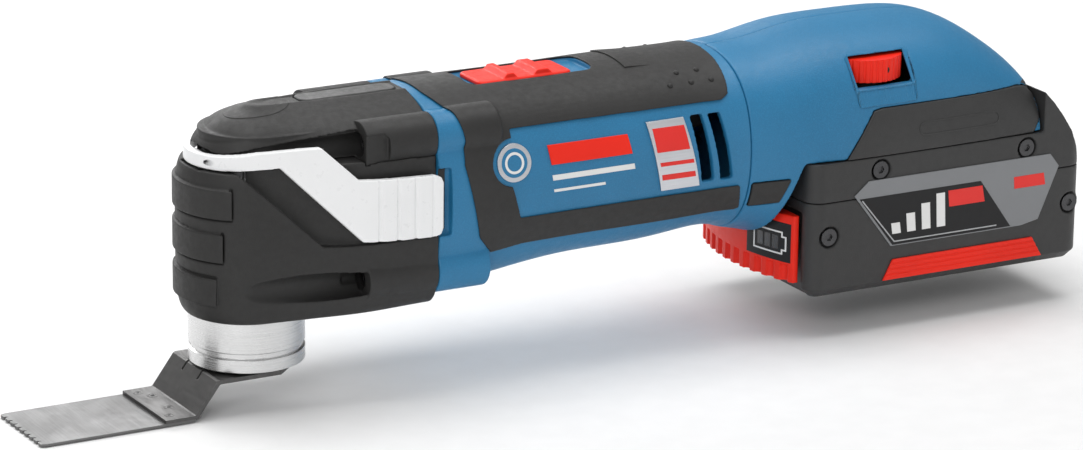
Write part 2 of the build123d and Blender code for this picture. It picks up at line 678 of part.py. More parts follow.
with BuildPart() as grip_overmold:
    add(body_skin_form.part)
    # pads over the upper screw lugs
    with BuildSketch(Plane.YZ.offset(62)):
        with Locations((-UP_LUG[0], UP_LUG[1]), (UP_LUG[0], UP_LUG[1])):
            Circle(UP_LUG_R + SKIN)
    extrude(amount=19.6)
    fillet(grip_overmold.edges().filter_by(GeomType.CIRCLE).group_by(Axis.X)[-1], 1.6)
    with BuildSketch(Plane.XZ):
        with BuildLine():
            Polyline((60.6, 95.0), (60.8, 86.6), (64.8, 82.8), (67.0, 74.0), (66.6, 65.4), (72.4, 39.4), (77.4, 33.2),
                     (80.2, 33.4), (89.6, 34.6), (174.2, 34.6), (175.6, 35.4), (173.8, 44.2), (173.0, 44.6),
                     (87.6, 44.6), (84.2, 56.2), (85.3, 75.0), (168.0, 75.0), (171.0, 76.4), (172.0, 79.0),
                     (173.4, 85.4), (174.4, 95.0), close=True)
        make_face()
        with Locations((85.1, 64.1)):
            Circle(8.0, mode=Mode.SUBTRACT)
    extrude(amount=60, both=True, mode=Mode.INTERSECT)
    add(body_gap_form.part, mode=Mode.SUBTRACT)
    with BuildSketch(Plane.YZ.offset(BODY_START)):
        with Locations((-UP_LUG[0], UP_LUG[1]), (UP_LUG[0], UP_LUG[1])):
            Circle(UP_LUG_R + 0.05)
    extrude(amount=14.05, mode=Mode.SUBTRACT)
    with BuildSketch(Plane.YZ.offset(BODY_START)):
        with Locations((-LOW_LUG[0], LOW_LUG[1]), (LOW_LUG[0], LOW_LUG[1])):
            Circle(LOW_LUG_R + 0.15)
    extrude(amount=19.8, mode=Mode.SUBTRACT)
    with BuildSketch(Plane.XY.offset(80)):
        with Locations((103.8, 0)):
            RectangleRounded(48.4, 19.0, 4.0)
    extrude(amount=20, mode=Mode.SUBTRACT)
finish(grip_overmold, "grip_overmold", BLACK)

with BuildPart() as emblem_discs:
    with BuildSketch(Plane.XZ):
        with Locations((85.1, 64.1)):
            Circle(6.4)
    extrude(amount=60, both=True)
    add(body_skin_form.part, mode=Mode.INTERSECT)
    add(body_gap_form.part, mode=Mode.SUBTRACT)
finish(emblem_discs, "emblem_discs", SILVER)

with BuildPart() as badge_plates:
    with BuildSketch(Plane.XZ):
        with BuildLine():
            Polyline((137.0, 71.2), (151.6, 71.3), (157.2, 46.9), (142.2, 46.8), close=True)
        make_face()
    extrude(amount=60, both=True)
    add(body_skin_form.part, mode=Mode.INTERSECT)
    add(body_gap_form.part, mode=Mode.SUBTRACT)
finish(badge_plates, "badge_plates", SILVER)

with BuildPart() as head_screws:
    for (y, zz) in (UP_LUG, LOW_LUG):
        with BuildSketch(Plane.YZ.offset(37.0)):
            with Locations((-y, zz), (y, zz)):
                Circle(1.95)
        extrude(amount=36.0)
        with BuildSketch(Plane.YZ.offset(33.4)):
            with Locations((-y, zz), (y, zz)):
                Circle(3.5)
        extrude(amount=3.6)
        with BuildSketch(Plane.YZ.offset(33.4)):
            with Locations((-y, zz), (y, zz)):
                RegularPolygon(1.7, 6)
        extrude(amount=2.2, mode=Mode.SUBTRACT)
finish(head_screws, "head_screws", STEEL)

# ---------------------------------------------------------------- motor
with BuildPart() as motor_stator:
    with BuildSketch(Plane.YZ.offset(95)):
        with Locations((0, AXIS_Z)):
            Circle(23.5)
            Circle(13.9, mode=Mode.SUBTRACT)
            with PolarLocations(19.0, 6):
                SlotOverall(4.2, 2.4, rotation=90, mode=Mode.SUBTRACT)
    extrude(amount=40)
finish(motor_stator, "motor_stator", STEEL)

with BuildPart() as stator_windings:
    for x in (88.0, 135.0):
        with BuildSketch(Plane.YZ.offset(x)):
            with Locations((0, AXIS_Z)):
                Circle(21.5)
                Circle(14.6, mode=Mode.SUBTRACT)
        extrude(amount=7)
    fillet(stator_windings.edges().filter_by(GeomType.CIRCLE), 1.5)
finish(stator_windings, "stator_windings", (0.7, 0.35, 0.15))

with BuildPart() as rotor_core:
    with BuildSketch(Plane.YZ.offset(96)):
        with Locations((0, AXIS_Z)):
            Circle(13.4)
            Circle(4.0, mode=Mode.SUBTRACT)
    extrude(amount=38)
finish(rotor_core, "rotor_core", STEEL)

with BuildPart() as motor_shaft:
    with BuildSketch(Plane.YZ.offset(34.0)):
        with Locations((0, AXIS_Z)):
            Circle(4.0)
    extrude(amount=122)
    with BuildSketch(Plane.YZ.offset(23.2)):
        with Locations((0, AXIS_Z)):
            Circle(3.0)
    extrude(amount=10.8)
finish(motor_shaft, "motor_shaft", STEEL)

with BuildPart() as eccentric:
    with BuildSketch(Plane.YZ.offset(ECC_X - 4.5)):
        with Locations((0, AXIS_Z + ECC)):
            Circle(4.2)
        with Locations((0, AXIS_Z)):
            Circle(3.0, mode=Mode.SUBTRACT)
    extrude(amount=9.0)
    # balance weight behind it
    with BuildSketch(Plane.YZ.offset(34.2)):
        with Locations((0, AXIS_Z)):
            Circle(9.0)
        with Locations((0, AXIS_Z + 16)):
            Rectangle(30, 20, mode=Mode.SUBTRACT)
        with Locations((0, AXIS_Z)):
            Circle(4.0, mode=Mode.SUBTRACT)
    extrude(amount=4.0)
    with BuildSketch(Plane.YZ.offset(ECC_X + 4.5)):
        with Locations((0, AXIS_Z)):
            Circle(4.2)
            Circle(3.0, mode=Mode.SUBTRACT)
    extrude(amount=1.4)
    with BuildSketch(Plane.YZ.offset(33.9)):
        with Locations((0, AXIS_Z)):
            Circle(5.4)
            Circle(4.0, mode=Mode.SUBTRACT)
    extrude(amount=2.0)
finish(eccentric, "eccentric", STEEL)

with BuildPart() as eccentric_bearing:
    with BuildSketch(Plane.YZ.offset(ECC_X - 4.0)):
        with Locations((0, AXIS_Z + ECC)):
            Circle(ECC_BEARING_R)
            Circle(4.2, mode=Mode.SUBTRACT)
    extrude(amount=8.0)
    chamfer(eccentric_bearing.edges().filter_by(GeomType.CIRCLE).filter_by(lambda e: e.radius > 5), 0.4)
finish(eccentric_bearing, "eccentric_bearing", STEEL)

with BuildPart() as motor_front_bearing:
    with BuildSketch(Plane.YZ.offset(46)):
        with Locations((0, AXIS_Z)):
            Circle(9.5)
            Circle(4.04, mode=Mode.SUBTRACT)
    extrude(amount=7)
finish(motor_front_bearing, "motor_front_bearing", STEEL)

with BuildPart() as motor_rear_bearing:
    with BuildSketch(Plane.YZ.offset(146)):
        with Locations((0, AXIS_Z)):
            Circle(9.5)
            Circle(4.04, mode=Mode.SUBTRACT)
    extrude(amount=6)
finish(motor_rear_bearing, "motor_rear_bearing", STEEL)

with BuildPart() as bearing_bridge:
    with BuildSketch(Plane.YZ.offset(145)):
        with Locations((0, AXIS_Z)):
            Circle(25.0)
            Circle(9.5, mode=Mode.SUBTRACT)
            with PolarLocations(17.4, 6):
                Circle(4.4, mode=Mode.SUBTRACT)
    extrude(amount=7.4)
    with BuildSketch(Plane.YZ.offset(152.4)):
        with Locations((0, AXIS_Z)):
            Circle(11.0)
            Circle(4.6, mode=Mode.SUBTRACT)
    extrude(amount=1.4)
finish(bearing_bridge, "bearing_bridge", BLACK)

with BuildPart() as cooling_fan:
    with BuildSketch(Plane.YZ.offset(76)):
        with Locations((0, AXIS_Z)):
            Circle(21.5)
            Circle(4.0, mode=Mode.SUBTRACT)
    extrude(amount=1.8)
    with BuildSketch(Plane.YZ.offset(77.8)):
        with Locations((0, AXIS_Z)):
            Circle(7.5)
            Circle(4.0, mode=Mode.SUBTRACT)
            with PolarLocations(14.2, 11):
                Rectangle(13.6, 1.3)
    extrude(amount=8.4)
finish(cooling_fan, "cooling_fan", BLACK)

# ---------------------------------------------------------------- switch
with BuildPart() as switch_slider:
    with BuildSketch(Plane.XY.offset(85.05)):
        with Locations((102.2, 0)):
            RectangleRounded(36.0, 16.4, 2.4)
    extrude(amount=1.5)
    chamfer(switch_slider.edges().group_by(Axis.Z)[-1], 0.5)
    extrude(side_face((93.6, 86.4), (95.2, 88.2), (97.6, 88.2), (99.4, 86.4)), amount=7.4, both=True)
    extrude(side_face((105.2, 86.4), (106.8, 88.2), (111.0, 88.2), (112.8, 86.4)), amount=7.4, both=True)
    with BuildSketch(Plane.XY.offset(81.6)):
        with Locations((101.8, 0)):
            Rectangle(12.0, 6.4)
    extrude(amount=3.6)
finish(switch_slider, "switch_slider", RED)

with BuildPart() as switch_rod:
    with BuildSketch(Plane.XY.offset(79.8)):
        with Locations((128.6, 0)):
            Rectangle(65.6, 5.6)
    extrude(amount=1.8)
    with BuildSketch(Plane.XY.offset(77.0)):
        with Locations((159.4, 0)):
            Rectangle(4.0, 5.6)
    extrude(amount=2.8)
finish(switch_rod, "switch_rod", BLACK)

with BuildPart() as switch_unit:
    with BuildSketch(Plane.XY.offset(60.0)):
        with Locations((165.0, 0)):
            Rectangle(20.0, 15.0)
    extrude(amount=15.0)
    with BuildSketch(Plane.XY.offset(75.0)):
        with Locations((172.0, 0)):
            Rectangle(5.0, 15.0)
    extrude(amount=5.0)
finish(switch_unit, "switch_unit", BLACK)

# ---------------------------------------------------------------- rear housing, two half shells
RAIL_SIDE = [(214.2, 49.4), (225.4, 65.4), (228.8, 66.1), (286.8, 66.1), (291.8, 65.4), (294.8, 62.6), (295.6, 54.4),
             (292.6, 49.4)]
SIDE_GRIP = [(179.0, 35.6), (190.2, 35.9), (193.4, 44.4), (178.9, 44.4)]
DIAL_C = (231.2, -18.6)
DIAL_R = 13.3
with BuildPart() as rear_hollow:
    add(rear_core.part)
    extrude(side_face((170.0, 0.0), (186.0, 0.0), (186.6, 22.0), (189.2, 33.0), (194.4, 47.6), (195.4, 52.2),
                      (300.0, 52.2), (300.0, 100.0), (170.0, 100.0)), amount=60, both=True, mode=Mode.INTERSECT)
with BuildPart() as rear_shell:
    add(rear_form.part)
    # foot: slanted edge in front of the battery, flat over it
    extrude(side_face((188.4, 0.0), (189.2, 21.0), (191.8, 31.4), (197.4, 47.4), (198.6, 49.6), (310.0, 49.6),
                      (310.0, 0.0)), amount=60, both=True, mode=Mode.SUBTRACT)
    add(rear_hollow.part, mode=Mode.SUBTRACT)
    # side windows for the rail carrier, and its channel
    extrude(side_face(*RAIL_SIDE, grow=0.15), amount=60, both=True, mode=Mode.SUBTRACT)
    with BuildSketch(Plane.XY.offset(40)):
        with Locations((253.0, 0)):
            Rectangle(106.0, 63.0)
    extrude(amount=25.0, mode=Mode.SUBTRACT)
    # dial window
    with BuildSketch(Plane.XZ.offset(22)):
        with Locations((231.2, 78.4)):
            RectangleRounded(25.0, 10.2, 1.4)
    extrude(amount=30, mode=Mode.SUBTRACT)
    # seats of the small side grips
    extrude(side_face(*SIDE_GRIP, grow=0.15), amount=60, both=True, mode=Mode.SUBTRACT)
with BuildPart() as rear_housing_left:
    add(rear_shell.part)
    with BuildSketch(Plane.XZ):
        with Locations((240, 50)):
            Rectangle(200, 200)
    extrude(amount=-80, mode=Mode.SUBTRACT)
finish(rear_housing_left, "rear_housing_left", BLUE)
with BuildPart() as rear_housing_right:
    add(rear_shell.part)
    with BuildSketch(Plane.XZ.offset(-0.02)):
        with Locations((240, 50)):
            Rectangle(200, 200)
    extrude(amount=80, mode=Mode.SUBTRACT)
finish(rear_housing_right, "rear_housing_right", BLUE)

with BuildPart() as side_grips:
    extrude(side_face(*SIDE_GRIP), amount=60, both=True)
    add(rear_skin_form.part, mode=Mode.INTERSECT)
    with BuildSketch(Plane.XY):
        with Locations((186, 0)):
            Rectangle(40, 54.0)
    extrude(amount=60, mode=Mode.SUBTRACT)
finish(side_grips, "side_grips", BLACK)

with BuildPart() as rail_carrier:
    extrude(side_face(*RAIL_SIDE), amount=60, both=True)
    add(rear_skin_form.part, mode=Mode.INTERSECT)
    with BuildSketch(Plane.XY.offset(40)):
        with Locations((255, 0)):
            Rectangle(100, 59.4)
    extrude(amount=21.0, mode=Mode.SUBTRACT)
    with BuildSketch(Plane.XY.offset(61.0)):
        with Locations((255, 0)):
            Rectangle(100, 59.4)
    extrude(amount=20.0, mode=Mode.SUBTRACT)
    with BuildSketch(Plane.XY.offset(61.0)):
        with Locations((246.5, 0)):
            Rectangle(88.0, 62.0)
    extrude(amount=2.6)
    with BuildSketch(Plane.XY.offset(49.6)):      # lips the battery hangs from
        with Locations((253.5, -28.2), (253.5, 28.2)):
            Rectangle(76.0, 4.2)
    extrude(amount=4.2)
finish(rail_carrier, "rail_carrier", BLACK)

BLADES_Y = (-14.0, -7.0, 0.0, 7.0, 14.0)
with BuildPart() as contact_block:
    with BuildSketch(Plane.XY.offset(50.2)):
        with Locations((206.5, 0)):
            Rectangle(9.0, 40.0)
    extrude(amount=10.8)
    with BuildSketch(Plane.YZ.offset(200)):
        with Locations(*[(y, 54.6) for y in BLADES_Y]):
            Rectangle(1.0, 5.0)
    extrude(amount=20, mode=Mode.SUBTRACT)
finish(contact_block, "contact_block", BLACK)

with BuildPart() as contact_blades:
    with BuildSketch(Plane.YZ.offset(204)):
        with Locations(*[(y, 54.6) for y in BLADES_Y]):
            Rectangle(1.0, 5.0)
    extrude(amount=21.0)
finish(contact_blades, "contact_blades", (0.75, 0.6, 0.25))

with BuildPart() as speed_dial:
    with BuildSketch(Plane.XY.offset(74.4)):
        with Locations(DIAL_C):
            Circle(DIAL_R)
            with PolarLocations(DIAL_R + 0.25, 36):
                Circle(0.62, mode=Mode.SUBTRACT)
    extrude(amount=8.0)
    with BuildSketch(Plane.XY.offset(70.8)):
        with Locations(DIAL_C):
            Circle(2.4)
    extrude(amount=3.6)
finish(speed_dial, "speed_dial", RED)

with BuildPart() as dial_potentiometer:
    with BuildSketch(Plane.XY.offset(66.2)):
        with Locations(DIAL_C):
            Circle(7.0)
    extrude(amount=7.6)
    with BuildSketch(Plane.XY.offset(60.0)):
        with Locations(DIAL_C):
            Circle(2.5)
    extrude(amount=20.0, mode=Mode.SUBTRACT)
finish(dial_potentiometer, "dial_potentiometer", BLACK)

with BuildPart() as electronics_board:
    with BuildSketch(Plane.XY.offset(64.4)):
        with Locations((242.0, 0)):
            RectangleRounded(84.0, 56.0, 2.0)
    extrude(amount=1.8)
finish(electronics_board, "electronics_board", (0.05, 0.3, 0.12))

with BuildPart() as board_parts:
    with BuildSketch(Plane.XY.offset(66.2)):
        with Locations((262.0, 14.0), (262.0, -10.0)):
            Circle(6.5)
    extrude(amount=15.0)
    with BuildSketch(Plane.XY.offset(66.2)):
        with Locations((214.0, 12.0)):
            Rectangle(20.0, 18.0)
        with Locations((244.0, 14.0)):
            Rectangle(14.0, 20.0)
    extrude(amount=5.0)
finish(board_parts, "board_parts", (0.1, 0.1, 0.12))

with BuildPart() as housing_screws:
    for x, z in ((184.0, 66.0), (206.0, 76.0), (278.0, 72.0)):
        with BuildSketch(Plane.XZ.offset(-24.0)):
            with Locations((x, z)):
                Circle(1.9)
        extrude(amount=20.0)
finish(housing_screws, "housing_screws", STEEL)

# ---------------------------------------------------------------- battery pack
def pack_outline(x0, x1, half, r):
    with BuildSketch() as face:
        with Locations(((x0 + x1) / 2, 0)):
            RectangleRounded(x1 - x0, 2 * half, r)
    return face.sketch


LABEL = [(217.0, 36.2), (222.8, 41.0), (299.2, 41.0), (303.0, 36.2), (294.8, 17.4), (287.4, 16.0), (232.6, 16.0)]
STRIP = [(233.6, 11.0), (292.5, 11.0), (296.8, 3.7), (229.7, 3.7)]
SCREWS = [(207.4, 22.5), (228.0, 44.3), (289.4, 44.3), (308.6, 21.5)]
with BuildPart() as pack_form:
    extrude(pack_outline(PACK_X0, PACK_X1, PACK_W / 2, 6.0).moved(Location((0, 0, PACK_Z0))), amount=80.0)
    chamfer(pack_form.faces().sort_by(Axis.Z)[0].edges(), 3.2)
    extrude(side_face((190.0, -5.0), (320.0, -5.0), (316.0, 24.0), (313.6, 35.0), (311.4, 42.0), (308.4, 48.6),
                      (304.6, 54.4), (300.4, 59.8), (296.4, 64.0), (296.4, PACK_TOP), (190.0, PACK_TOP)), amount=60, both=True,
            mode=Mode.INTERSECT)
    # rail block
    with BuildSketch(Plane.XY.offset(45.0)):
        with Locations((255.0, 0)):
            Rectangle(82.0, 51.2)
    extrude(amount=RAIL_TOP - 45.0)
    with BuildSketch(Plane.XY.offset(54.3)):
        with Locations((257.0, 0)):
            Rectangle(78.0, 58.2)
    extrude(amount=RAIL_TOP - 54.3)
with BuildPart() as pack_hollow:
    extrude(pack_outline(PACK_X0 + 3.6, PACK_X1 - 2.6, PACK_W / 2 - 2.4, 4.0).moved(Location((0, 0, 2.6))),
            amount=44.0)
    # pocket for the release latch stays outside the shell
with BuildPart() as battery_lower_shell:
    add(pack_form.part)
    with BuildSketch(Plane.XY.offset(PACK_SEAM - 0.1)):
        with Locations((255, 0)):
            Rectangle(160, 100)
    extrude(amount=80, mode=Mode.SUBTRACT)
    add(pack_hollow.part, mode=Mode.SUBTRACT)
    with BuildSketch(Plane.XY.offset(-2)):
        with Locations((196.0, 0)):
            Rectangle(14.4, 62.6)
    extrude(amount=33.0, mode=Mode.SUBTRACT)
    # latch pocket back wall
    with BuildSketch(Plane.XY.offset(2.6)):
        with Locations((204.0, 0)):
            Rectangle(1.6, 66.0)
    extrude(amount=32.3)
    with BuildSketch(Plane.XZ):
        with Locations(SCREWS[0], SCREWS[3]):
            Circle(3.9)
    extrude(amount=60, both=True, mode=Mode.SUBTRACT)
    for y in (-35.9, 33.5):
        with BuildSketch(Plane.XZ.offset(-y - 2.4)):
            with Locations(SCREWS[0], SCREWS[3]):
                Circle(4.6)
        extrude(amount=2.4)
finish(battery_lower_shell, "battery_lower_shell", BLACK)

with BuildPart() as battery_upper_shell:
    add(pack_form.part)
    with BuildSketch(Plane.XY.offset(PACK_SEAM + 0.1)):
        with Locations((255, 0)):
            Rectangle(160, 100)
    extrude(amount=-80, mode=Mode.SUBTRACT)
    add(pack_hollow.part, mode=Mode.SUBTRACT)
    with BuildSketch(Plane.XZ):
        with Locations(SCREWS[1], SCREWS[2]):
            Circle(3.9)
    extrude(amount=60, both=True, mode=Mode.SUBTRACT)
    for y in (-35.9, 33.5):
        with BuildSketch(Plane.XZ.offset(-y - 2.4)):
            with Locations(SCREWS[1], SCREWS[2]):
                Circle(4.6)
        extrude(amount=2.4)
    # slots for the tool's contact blades, and the rail block's hollow
    with BuildSketch(Plane.YZ.offset(210)):
        with Locations(*[(y, 54.6) for y in BLADES_Y]):
            Rectangle(2.2, 6.2)
    extrude(amount=18.0, mode=Mode.SUBTRACT)
    with BuildSketch(Plane.XY.offset(40.0)):
        with Locations((259.0, 0)):
            Rectangle(60.0, 44.0)
    extrude(amount=16.6, mode=Mode.SUBTRACT)
finish(battery_upper_shell, "battery_upper_shell", BLACK)

with BuildPart() as battery_screws:
    for s in (-1, 1):
        with BuildSketch(Plane.XZ.offset(-s * 35.95 if s > 0 else 35.95)):
            with Locations(*SCREWS):
                Circle(3.1)
        extrude(amount=1.2 if s < 0 else -1.2)
        with BuildSketch(Plane.XZ.offset(-s * 37.15 if s > 0 else 37.15)):
            with Locations(*SCREWS):
                RegularPolygon(1.4, 6)
        extrude(amount=-0.8 if s < 0 else 0.8, mode=Mode.SUBTRACT)
finish(battery_screws, "battery_screws", STEEL)

with BuildPart() as side_labels:
    extrude(side_face(*LABEL), amount=PACK_W / 2 + 0.4, both=True)
    with BuildSketch(Plane.XY):
        with Locations((255, 0)):
            Rectangle(160, PACK_W)
    extrude(amount=80, mode=Mode.SUBTRACT)
finish(side_labels, "side_labels", (0.25, 0.26, 0.28))

with BuildPart() as side_strips:
    extrude(side_face(*STRIP), amount=PACK_W / 2 + 0.6, both=True)
    with BuildSketch(Plane.XY):
        with Locations((255, 0)):
            Rectangle(160, PACK_W)
    extrude(amount=80, mode=Mode.SUBTRACT)
    for y in (-1, 1):
        with BuildSketch(Plane.YZ.offset(220)):
            with Locations(*[(y * (PACK_W / 2 + 0.75), z) for z in (5.6, 7.5, 9.4)]):
                Circle(0.4)
        extrude(amount=90, mode=Mode.SUBTRACT)
finish(side_strips, "side_strips", RED)

CELLS_X = [216.0 + 19.6 * i for i in range(5)]
with BuildPart() as battery_cells:
    with BuildSketch(Plane.XZ.offset(-CELL_L / 2)):
        with Locations(*[(x, z) for x in CELLS_X for z in (12.6, 31.6)]):
            Circle(CELL_R)
    extrude(amount=CELL_L)
finish(battery_cells, "battery_cells", (0.15, 0.5, 0.35))

with BuildPart() as cell_holders:
    for y in (-30.6, 26.6):
        with BuildSketch(Plane.XZ.offset(-y - 4.0)):
            with Locations(((CELLS_X[0] + CELLS_X[-1]) / 2, 22.4)):
                RectangleRounded(98.4, 38.8, 3.0)
            with Locations(*[(x, z) for x in CELLS_X for z in (12.6, 31.6)]):
                Circle(CELL_R + 0.05, mode=Mode.SUBTRACT)
        extrude(amount=4.0)
finish(cell_holders, "cell_holders", (0.08, 0.08, 0.08))

with BuildPart() as pack_board:
    with BuildSketch(Plane.XY.offset(42.4)):
        with Locations((258.0, 0)):
            Rectangle(56.0, 42.0)
    extrude(amount=1.6)
finish(pack_board, "pack_board", (0.05, 0.3, 0.12))

with BuildPart() as pack_terminals:
    for y in BLADES_Y:
        with BuildSketch(Plane.XY.offset(44.0)):
            with Locations((233.0, y - 1.1), (233.0, y + 1.1)):
                Rectangle(5.0, 0.7)
        extrude(amount=11.0)
finish(pack_terminals, "pack_terminals", (0.75, 0.6, 0.25))

with BuildPart() as battery_latch:
    with BuildSketch(Plane.XY.offset(5.4)):
        with BuildLine():
            ThreePointArc((196.9, -30.8), (190.6, 0), (196.9, 30.8))
            Line((196.9, 30.8), (198.9, 30.8))
            Line((198.9, 30.8), (198.9, -30.8))
            Line((198.9, -30.8), (196.9, -30.8))
        make_face()
    extrude(amount=24.4)
    extrude(side_face((180.0, 19.0), (190.2, 19.0), (192.6, 29.4), (194.0, 34.0), (180.0, 34.0)), amount=60,
            both=True, mode=Mode.SUBTRACT)
    # scalloped finger edge
    with BuildSketch(Plane.XY.offset(3.0)):
        with Locations(*[(191.0 + 6.2 * (y / 31.0) ** 2 - 0.6, y) for y in range(-27, 28, 6)]):
            Circle(1.7)
    extrude(amount=8.6, mode=Mode.SUBTRACT)
finish(battery_latch, "battery_latch", RED)

with BuildPart() as latch_springs:
    with BuildSketch(Plane.YZ.offset(198.9)):
        with Locations((-18.0, 17.0), (18.0, 17.0)):
            Circle(2.6)
            Circle(1.6, mode=Mode.SUBTRACT)
    extrude(amount=1.6)
finish(latch_springs, "latch_springs", STEEL)
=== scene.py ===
import json
import math
import bpy
import bmesh
from mathutils import Matrix, Vector
from mathutils.bvhtree import BVHTree


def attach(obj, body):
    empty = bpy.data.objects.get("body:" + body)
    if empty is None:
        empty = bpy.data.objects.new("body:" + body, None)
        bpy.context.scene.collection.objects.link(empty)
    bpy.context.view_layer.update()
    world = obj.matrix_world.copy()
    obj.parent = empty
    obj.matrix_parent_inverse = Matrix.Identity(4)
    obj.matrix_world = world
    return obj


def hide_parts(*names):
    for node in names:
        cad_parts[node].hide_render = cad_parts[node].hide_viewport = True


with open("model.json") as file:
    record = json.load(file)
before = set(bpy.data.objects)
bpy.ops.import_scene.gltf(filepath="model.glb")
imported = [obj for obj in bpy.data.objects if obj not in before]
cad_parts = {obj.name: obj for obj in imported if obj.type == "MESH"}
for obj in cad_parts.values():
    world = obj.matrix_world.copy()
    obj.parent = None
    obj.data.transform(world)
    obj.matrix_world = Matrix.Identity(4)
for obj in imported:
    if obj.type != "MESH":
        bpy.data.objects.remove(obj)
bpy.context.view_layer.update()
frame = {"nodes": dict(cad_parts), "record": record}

MM = 0.001
nodes = frame["nodes"]
body_of = {n: b for b, ns in frame["record"]["behaviour"]["bodies"].items() for n in ns}
slot_of = {s["node"]: s["material_slot"] for s in frame["record"]["subparts"]}


# ------------------------------------------------------------------ materials
def new_mat(name):
    m = bpy.data.materials.new(name)
    m.use_nodes = True
    nt = m.node_tree
    nt.nodes.clear()
    out = nt.nodes.new("ShaderNodeOutputMaterial")
    b = nt.nodes.new("ShaderNodeBsdfPrincipled")
    nt.links.new(b.outputs[0], out.inputs[0])
    return m, nt, b


def coords(nt, scale=None):
    co = nt.nodes.new("ShaderNodeTexCoord").outputs["Object"]
    if scale is None:
        return co
    mp = nt.nodes.new("ShaderNodeMapping")
    mp.inputs["Scale"].default_value = scale
    nt.links.new(co, mp.inputs["Vector"])
    return mp.outputs["Vector"]


def noise(nt, vec, scale, detail=2.0, rough=0.5, dist=0.0):
    n = nt.nodes.new("ShaderNodeTexNoise")
    n.inputs["Scale"].default_value = scale
    n.inputs["Detail"].default_value = detail
    n.inputs["Roughness"].default_value = rough
    n.inputs["Distortion"].default_value = dist
    nt.links.new(vec, n.inputs["Vector"])
    return n.outputs["Fac"]


def spread(nt, fac, lo, hi, a=0.35, b=0.65):
    r = nt.nodes.new("ShaderNodeMapRange")
    r.inputs["From Min"].default_value = a
    r.inputs["From Max"].default_value = b
    r.inputs["To Min"].default_value = lo
    r.inputs["To Max"].default_value = hi
    nt.links.new(fac, r.inputs["Value"])
    return r.outputs["Result"]


def calc(nt, op, a, b):
    n = nt.nodes.new("ShaderNodeMath")
    n.operation = op
    for i, v in enumerate((a, b)):
        if isinstance(v, (int, float)):
            n.inputs[i].default_value = v
        else:
            nt.links.new(v, n.inputs[i])
    return n.outputs[0]


def blend_colour(nt, fac, a, b):
    n = nt.nodes.new("ShaderNodeMix")
    n.data_type = "RGBA"
    for sock, v in ((n.inputs[0], fac), (n.inputs[6], a), (n.inputs[7], b)):
        if isinstance(v, (int, float)):
            sock.default_value = v
        elif isinstance(v, tuple):
            sock.default_value = (*v, 1.0)
        else:
            nt.links.new(v, sock)
    return n.outputs[2]


def edges(nt, radius):
    """Rounded normal over the edges, and a mask that is 1 on them."""
    bv = nt.nodes.new("ShaderNodeBevel")
    bv.samples = 4
    bv.inputs["Radius"].default_value = radius
    geo = nt.nodes.new("ShaderNodeNewGeometry")
    dot = nt.nodes.new("ShaderNodeVectorMath")
    dot.operation = "DOT_PRODUCT"
    nt.links.new(bv.outputs[0], dot.inputs[0])
    nt.links.new(geo.outputs["Normal"], dot.inputs[1])
    mask = spread(nt, dot.outputs["Value"], 1.0, 0.0, 0.86, 0.985)
    return bv.outputs[0], mask


def bump(nt, height, strength, distance, normal=None):
    n = nt.nodes.new("ShaderNodeBump")
    n.inputs["Strength"].default_value = strength
    n.inputs["Distance"].default_value = distance
    nt.links.new(height, n.inputs["Height"])
    if normal is not None:
        nt.links.new(normal, n.inputs["Normal"])
    return n.outputs[0]


def scaled(c, k):
    return tuple(min(1.0, max(0.0, v * k)) for v in c)


def plastic(name, base, rough=0.5, grain=2300.0, depth=0.5, tint=0.07, edge=0.35, light=None, spec=0.5, coat=0.0,
            radius=0.0003, mottled=0.05):
    m, nt, b = new_mat(name)
    co = coords(nt)
    big = noise(nt, co, 26.0, 3.0, 0.55)
    mid = noise(nt, co, 420.0, 3.0, 0.6)
    fine = noise(nt, co, grain, 2.0, 0.55)
    col = blend_colour(nt, spread(nt, big, 0.0, 1.0), scaled(base, 1 - tint), scaled(base, 1 + tint))
    col = blend_colour(nt, spread(nt, fine, 0.0, mottled * 4, 0.45, 0.75), col, scaled(base, 1.35))
    normal, mask = edges(nt, radius)
    # edge wear and painted highlight: convex edges are mixed toward a lighter colour, standing in both for rubbed
    # edges and for the bright edge lines the lamps give
    wear_and_highlight = calc(nt, "MULTIPLY", mask, spread(nt, mid, 0.3 * edge, edge))
    col = blend_colour(nt, wear_and_highlight, col, light or scaled(base, 1.6))
    nt.links.new(col, b.inputs["Base Color"])
    nt.links.new(calc(nt, "ADD", spread(nt, mid, rough - 0.06, rough + 0.06),
                      calc(nt, "MULTIPLY", wear_and_highlight, -0.12)), b.inputs["Roughness"])
    n1 = bump(nt, fine, depth, 0.00012, normal)
    nt.links.new(bump(nt, mid, depth * 0.25, 0.0002, n1), b.inputs["Normal"])
    b.inputs["Specular IOR Level"].default_value = spec
    b.inputs["Coat Weight"].default_value = coat
    b.inputs["Coat Roughness"].default_value = 0.25
    return m


